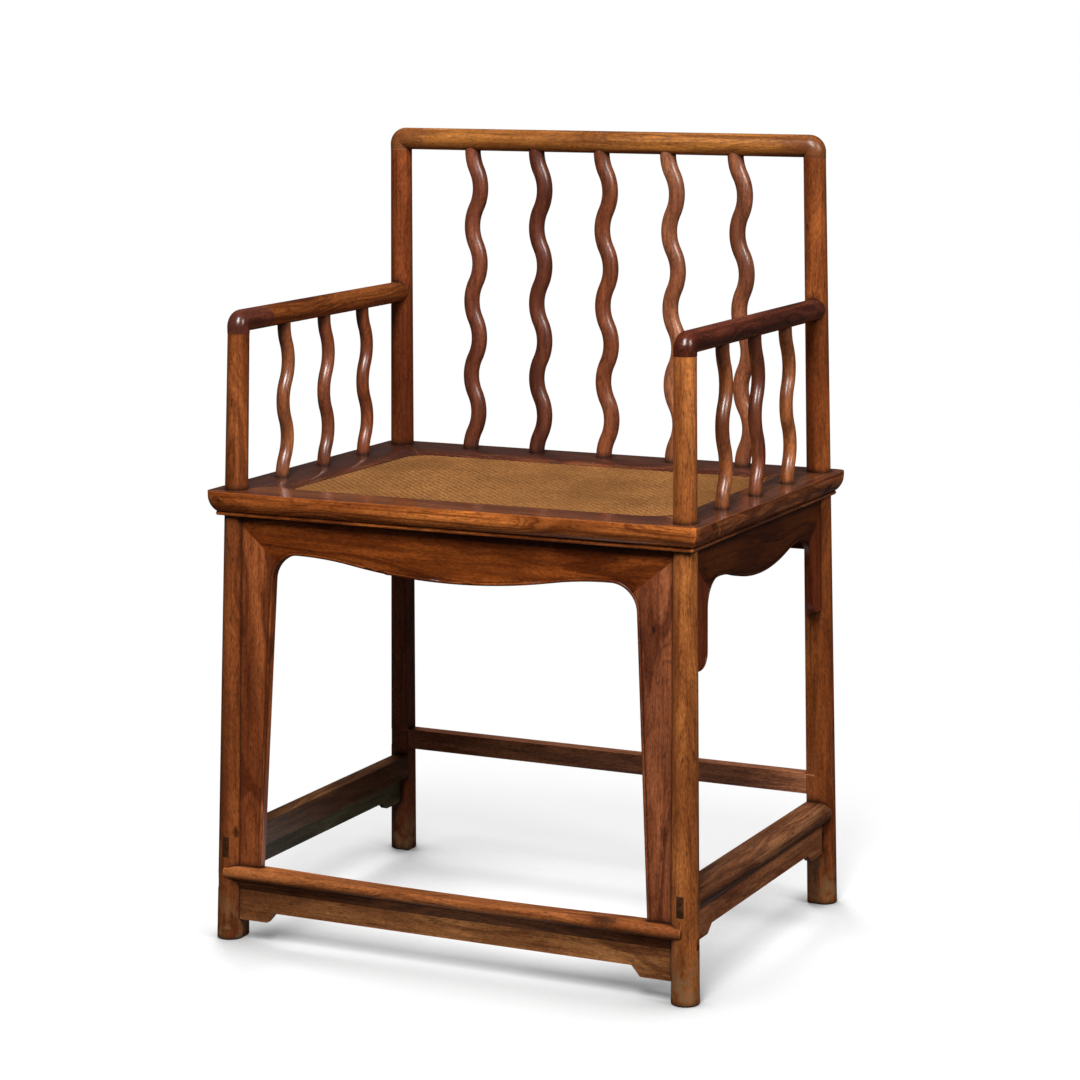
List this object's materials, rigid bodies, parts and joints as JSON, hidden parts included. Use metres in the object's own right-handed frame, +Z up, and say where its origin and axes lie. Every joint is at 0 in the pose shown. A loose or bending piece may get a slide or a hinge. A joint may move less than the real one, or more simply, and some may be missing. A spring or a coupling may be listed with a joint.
{
  "type": "low-back armchair",
  "caption": "Low-back wooden armchair with wavy round spindles under its straight crest rail and arms, a cane seat, shaped aprons and splayed legs joined by stretchers.",
  "frame": {"origin": "on the floor, at the middle of the chair's bounding box in plan", "axes": "+Z up, -Y towards the front, +X to the right of a person who looks at the chair's front"},
  "size_m": [0.58, 0.4363, 0.877],
  "materials": {
    "wood": "polished, reddish brown hardwood",
    "dark_wood": "polished, darker hardwood",
    "plain_wood": "planed, unfinished",
    "cane": "fine woven cane, worn smooth"
  },
  "bodies": {
    "root": {"arm_spindle_left_front": "wood", "arm_spindle_left_middle": "wood", "arm_spindle_left_rear": "wood", "arm_spindle_right_front": "wood", "arm_spindle_right_middle": "wood", "arm_spindle_right_rear": "wood", "armrest_left": "wood", "armrest_left_elbow": "dark_wood", "armrest_right": "dark_wood", "back_spindle_1": "wood", "back_spindle_2": "wood", "back_spindle_3": "wood", "back_spindle_4": "wood", "back_spindle_5": "wood", "cane_mat": "cane", "crest_rail": "wood", "foot_rail": "wood", "foot_rail_apron": "wood", "front_apron": "wood", "front_apron_upright_left": "wood", "front_apron_upright_right": "wood", "front_leg_left": "wood", "front_leg_right": "wood", "rear_apron": "wood", "rear_leg_left": "wood", "rear_leg_right": "wood", "rear_stretcher": "wood", "seat_board": "plain_wood", "seat_brace_left": "plain_wood", "seat_brace_right": "plain_wood", "seat_rail_front": "wood", "seat_rail_left": "wood", "seat_rail_rear": "wood", "seat_rail_right": "wood", "side_apron_left": "wood", "side_apron_left_drop_front": "wood", "side_apron_left_drop_rear": "wood", "side_apron_right": "wood", "side_apron_right_drop_front": "wood", "side_apron_right_drop_rear": "wood", "side_stretcher_apron_left": "wood", "side_stretcher_apron_right": "wood", "side_stretcher_left": "wood", "side_stretcher_right": "wood"}
  },
  "joints": []
}
